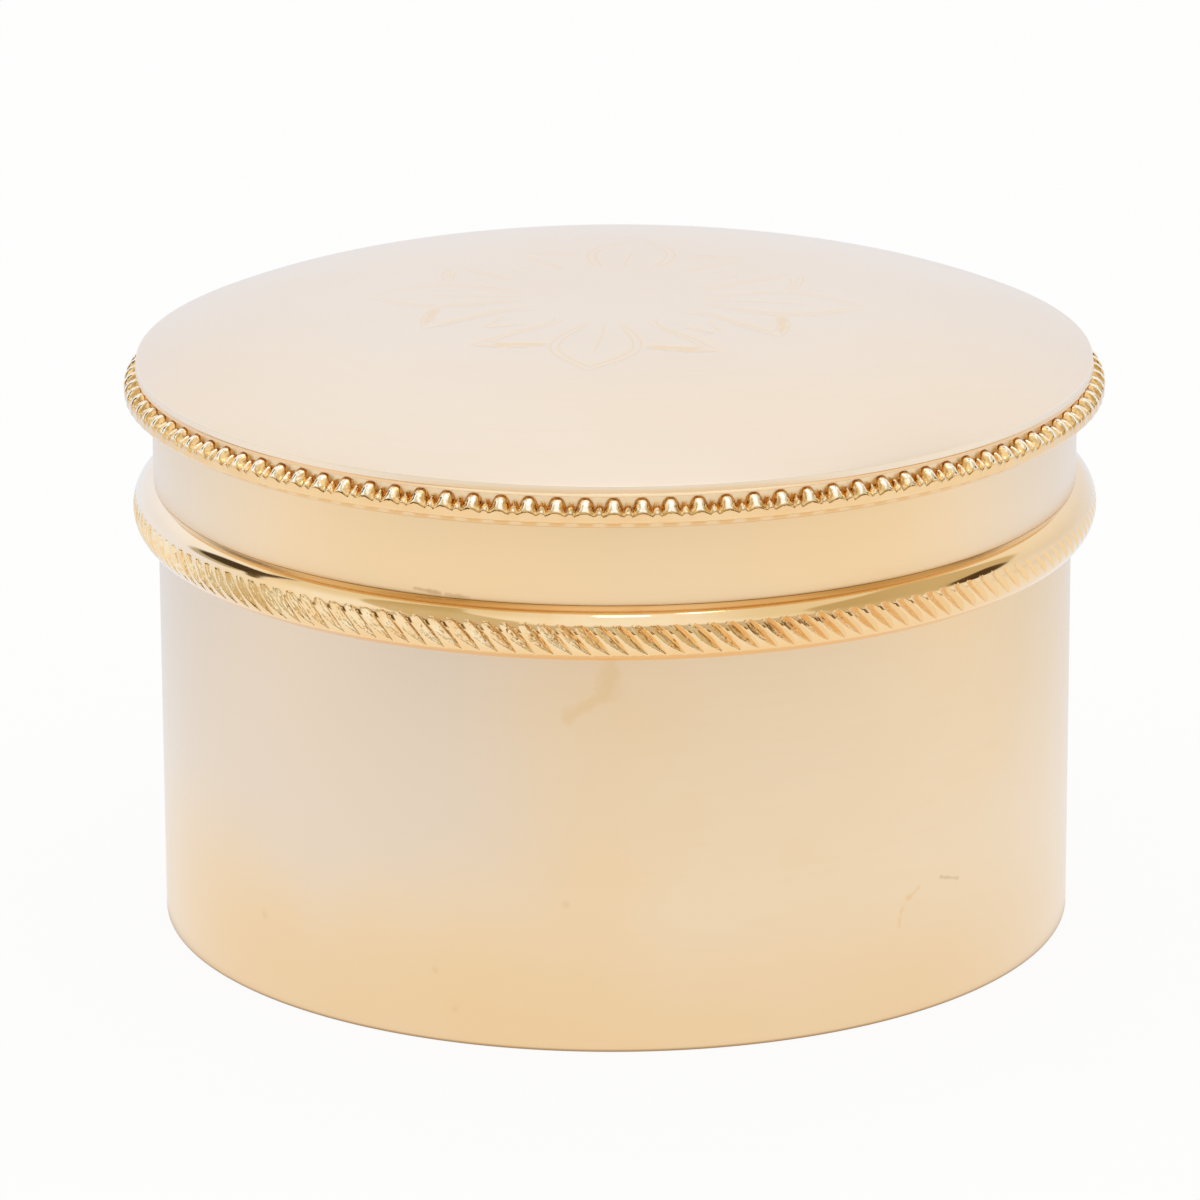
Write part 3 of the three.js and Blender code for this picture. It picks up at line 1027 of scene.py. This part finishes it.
def build_floor():
    """A plain pale floor: the camera and the metal see it nearly white, with the object's shadow, and
    the metal sees painted dimmer light behind the object and a painted contact shadow close to its
    foot."""
    radii = (300, 900, 4000)
    steps = 64
    points, faces = [(0, 0, -0.02)], []
    for radius in radii:
        for j in range(steps):
            angle = 2 * math.pi * j / steps
            points.append((radius * math.cos(angle), radius * math.sin(angle), -0.02))
    faces += [(0, 1 + j, 1 + (j + 1) % steps) for j in range(steps)]
    for ring in range(len(radii) - 1):
        here, out = 1 + ring * steps, 1 + (ring + 1) * steps
        for j in range(steps):
            k = (j + 1) % steps
            faces.append((here + j, out + j, out + k, here + k))
    material = bpy.data.materials.new("pale_floor")
    material.use_nodes = True
    tree = material.node_tree
    tree.nodes.clear()
    place, x, y, _ = place_on_object(tree)
    paper = noise(tree, place, 300, 3, 0.6)
    tone = mixed(tree, between(tree, paper, 0.3, 0.7), (0.95, 0.95, 0.95), (0.97, 0.97, 0.97))
    bump = add_node(tree, "ShaderNodeBump", {"Height": paper, "Distance": 0.00002})
    paint = add_node(tree, "ShaderNodeBsdfDiffuse", {"Color": tone, "Normal": bump.outputs["Normal"]})
    away = distance_out(tree, x, y)
    # Painted contact shadow round the object's foot, seen in the metal
    contact_shadow = between(tree, away, (BODY_RADIUS + 0.8) * MM, (BODY_RADIUS - 0.4) * MM)
    mirrored = mixed(tree, between(tree, y, -0.06, 0.16), FLOOR_FRONT, FLOOR_BEHIND)
    mirrored = mixed(tree, contact_shadow, mirrored, FLOOR_CONTACT_SHADOW)
    glossy = add_node(tree, "ShaderNodeLightPath").outputs["Is Glossy Ray"]
    colour = mixed(tree, glossy, (1, 1, 1), mirrored)
    glow = add_node(tree, "ShaderNodeEmission", {"Color": colour, "Strength": 1.0})
    seen = light_path_share(tree)
    mix = add_node(tree, "ShaderNodeMixShader", {0: times(tree, seen, 0.92)})
    tree.links.new(paint.outputs[0], mix.inputs[1])
    tree.links.new(glow.outputs[0], mix.inputs[2])
    out = add_node(tree, "ShaderNodeOutputMaterial")
    tree.links.new(mix.outputs[0], out.inputs["Surface"])
    floor = make_piece("floor", points, faces, [material])


def light_path_share(tree):
    """1 for rays from the camera, a mirror or glass, and 0 for the light that falls on things."""
    path = add_node(tree, "ShaderNodeLightPath")
    seen = sums(tree, "MAXIMUM", path.outputs["Is Camera Ray"], path.outputs["Is Glossy Ray"])
    return sums(tree, "MAXIMUM", seen, path.outputs["Is Transmission Ray"])


# Dim places of the room that the polished gold mirrors, seen from the object, as (azimuth,
# elevation, half width, half height, tilt, softness, light that is left)
DIM_PLACES = [
    (0, 13, 78, 19, 0, 0.8, (0.64, 0.56, 0.44)),
    (-52, 42, 40, 14, -35, 0.4, (0.68, 0.60, 0.43)),
    (88, 36, 38, 19, 8, 0.3, (0.68, 0.60, 0.43)),
    (-118, 27, 12, 9, 20, 0.6, (0.50, 0.46, 0.32)),
    (0, 4, 100, 6, 0, 0.7, (0.30, 0.20, 0.10)),
    (-52, 9, 22, 8, 0, 0.6, (0.12, 0.08, 0.04)),
    (58, 8, 18, 7, 0, 0.6, (0.20, 0.14, 0.07)),
    (-117, 33, 13, 9, 22, 0.5, (0.07, 0.05, 0.03)),
    (-109, 36, 17, 3.0, -52, 0.5, (0.09, 0.06, 0.03)),
    (132, 56, 20, 2.6, -20, 0.6, (0.30, 0.22, 0.11)),
    (-124, 60, 16, 4, 26, 0.8, (0.60, 0.50, 0.32)),
    (100, 23, 13, 6.5, 16, 0.6, (0.10, 0.06, 0.03)),
]

# Tone low behind the object, and the bright patch overhead, as (azimuth, elevation, reach,
# softness, radiance)
BACK_LIGHT = (0.88, 0.89, 0.95)
OVERHEAD = (180, 88, 12, 5, 1.55)

# Lamps, whose distance and size are in metres
LAMP_DISTANCE = 1.1
LAMP_RADIANCE = 3.0


def dim_share(tree, azimuth, elevation, place):
    """1 inside a tilted ellipse of the sky, fading to 0 at its edge."""
    middle, rise, wide, high, tilt, soft, _ = place
    turn = math.radians(tilt)
    du = sums(tree, "SUBTRACT", azimuth, middle)
    dv = sums(tree, "SUBTRACT", elevation, rise)
    along = plus(tree, times(tree, du, math.cos(turn) / wide),
                 times(tree, dv, math.sin(turn) / wide))
    across = sums(tree, "SUBTRACT", times(tree, dv, math.cos(turn) / high),
                  times(tree, du, math.sin(turn) / high))
    far = plus(tree, sums(tree, "POWER", sums(tree, "ABSOLUTE", along), 3),
               sums(tree, "POWER", sums(tree, "ABSOLUTE", across), 3))
    return between(tree, far, 1, 1 - soft)


def aim_of(azimuth, elevation):
    """The direction at an azimuth and elevation, as a unit vector."""
    a, e = math.radians(azimuth), math.radians(elevation)
    return Vector((math.sin(a) * math.cos(e), -math.cos(a) * math.cos(e), math.sin(e)))


def build_world():
    """A white tent, dimmer round the camera and low behind the object."""
    world = bpy.data.worlds.new("tent")
    bpy.context.scene.world = world
    world.use_nodes = True
    tree = world.node_tree
    tree.nodes.clear()
    way = add_node(tree, "ShaderNodeTexCoord").outputs["Generated"]
    x, y, z = parts_of(tree, way)
    azimuth = sums(tree, "DEGREES", sums(tree, "ARCTAN2", x, times(tree, y, -1)))
    elevation = sums(tree, "DEGREES", sums(tree, "ARCSINE", z))
    aside = between(tree, sums(tree, "ABSOLUTE", azimuth), 80, 120)
    low = between(tree, elevation, 36, 8)
    sky = mixed(tree, times(tree, aside, low), (1, 1, 1), BACK_LIGHT)
    for place in DIM_PLACES:
        share = dim_share(tree, azimuth, elevation, place)
        sky = mixed(tree, share, sky, place[-1])
    middle, rise, reach, soft, radiance = OVERHEAD
    aim = aim_of(middle, rise)
    facing = vectors(tree, "DOT_PRODUCT", way, aim).outputs["Value"]
    bright = between(tree, facing, math.cos(math.radians(reach)), math.cos(math.radians(reach - soft)))
    sky = mixed(tree, bright, sky, (radiance,) * 3)
    path = add_node(tree, "ShaderNodeLightPath")
    sky = mixed(tree, path.outputs["Is Camera Ray"], sky, (1, 1, 1))
    light = add_node(tree, "ShaderNodeBackground", {"Color": sky, "Strength": 1.0})
    out = add_node(tree, "ShaderNodeOutputWorld")
    tree.links.new(light.outputs[0], out.inputs["Surface"])


def build_lamp(name, azimuth, elevation, width, height):
    """A soft rectangular lamp that faces the object."""
    lamp = bpy.data.lights.new(name, "AREA")
    lamp.shape = "RECTANGLE"
    lamp.size, lamp.size_y = width, height
    lamp.energy = LAMP_RADIANCE * math.pi * width * height
    holder = bpy.data.objects.new(name, lamp)
    bpy.context.scene.collection.objects.link(holder)
    way = aim_of(azimuth, elevation)
    target = Vector((0, 0, MOUTH * MM))
    holder.location = target + way * LAMP_DISTANCE
    holder.rotation_euler = way.to_track_quat("Z", "Y").to_euler()


def build_camera():
    data = bpy.data.cameras.new("camera")
    data.sensor_width = 36
    data.lens = CAMERA_LENS
    camera = bpy.data.objects.new("camera", data)
    bpy.context.scene.collection.objects.link(camera)
    camera.matrix_world = (
        Matrix.Translation(Vector(CAMERA_PLACE) * MM)
        @ Matrix.Rotation(math.pi / 2 - CAMERA_PITCH, 4, "X")
        @ Matrix.Rotation(-CAMERA_ROLL, 4, "Z")
    )
    bpy.context.scene.camera = camera


def build_all():
    satin_drum = satin_gold("satin_drum", stains_and_painted_light=drum_stains_and_painted_light)
    satin_skirt = satin_gold("satin_skirt", low=GOLD_WARM, high=SKIRT_GOLD, brushed=0.0001,
                             stains_and_painted_light=skirt_smudges_and_painted_sheen)
    satin_top = satin_gold("satin_top", low=TOP_GOLD, high=TOP_PALE, rough=0.32, brushed=0.0002,
                           stains_and_painted_light=rim_painted_light)
    polished = polished_gold("polished_gold", stains_and_painted_light=rope_painted_light)
    lip_gold = polished_gold("lip_gold", low=LIP_GOLD, high=LIP_GOLD, stains_and_painted_light=lip_painted_light)
    pearl_gold = polished_gold("pearl_gold", low=PEARL_HEAD, high=PEARL_DENT, rough=0.07, grain=1700,
                               depth=0.05, stains_and_painted_light=pearl_painted_highlight)
    pearl_foot = polished_gold("pearl_foot_gold", low=PEARL_GOLD, high=PEARL_DEEP, rough=0.17)
    rough_cut = cut_gold("cut_gold", low=CUT_PALE, high=CUT_GOLD, rough=0.16)
    smooth_cut = cut_gold("smooth_cut_gold", low=CUT_SMOOTH, high=CUT_GOLD, rough=0.12, grain=1800,
                          depth=0.003)
    band_gold = satin_gold("band_gold", low=BAND_SHADED_GOLD, high=BAND_PALE, stains_and_painted_light=band_painted_light)
    engraved = satin_gold("engraved_gold", brushed=0.002)
    inside = gilt_inside("gilt_inside")
    build_drum(satin_drum, inside)
    build_base(satin_drum, inside)
    build_collar(inside)
    build_rope(polished, rough_cut, smooth_cut)
    build_skirt(satin_skirt, inside)
    build_pearls(pearl_gold, band_gold, pearl_foot)
    build_dome(satin_top, lip_gold, inside, engraved)
    build_floor()
    build_world()
    build_lamp("lamp_front", azimuth=3, elevation=70, width=0.16, height=0.10)
    build_lamp("lamp_side", azimuth=55, elevation=74, width=0.20, height=0.08)
    build_camera()
    bpy.context.scene.view_settings.view_transform = "Standard"


build_all()
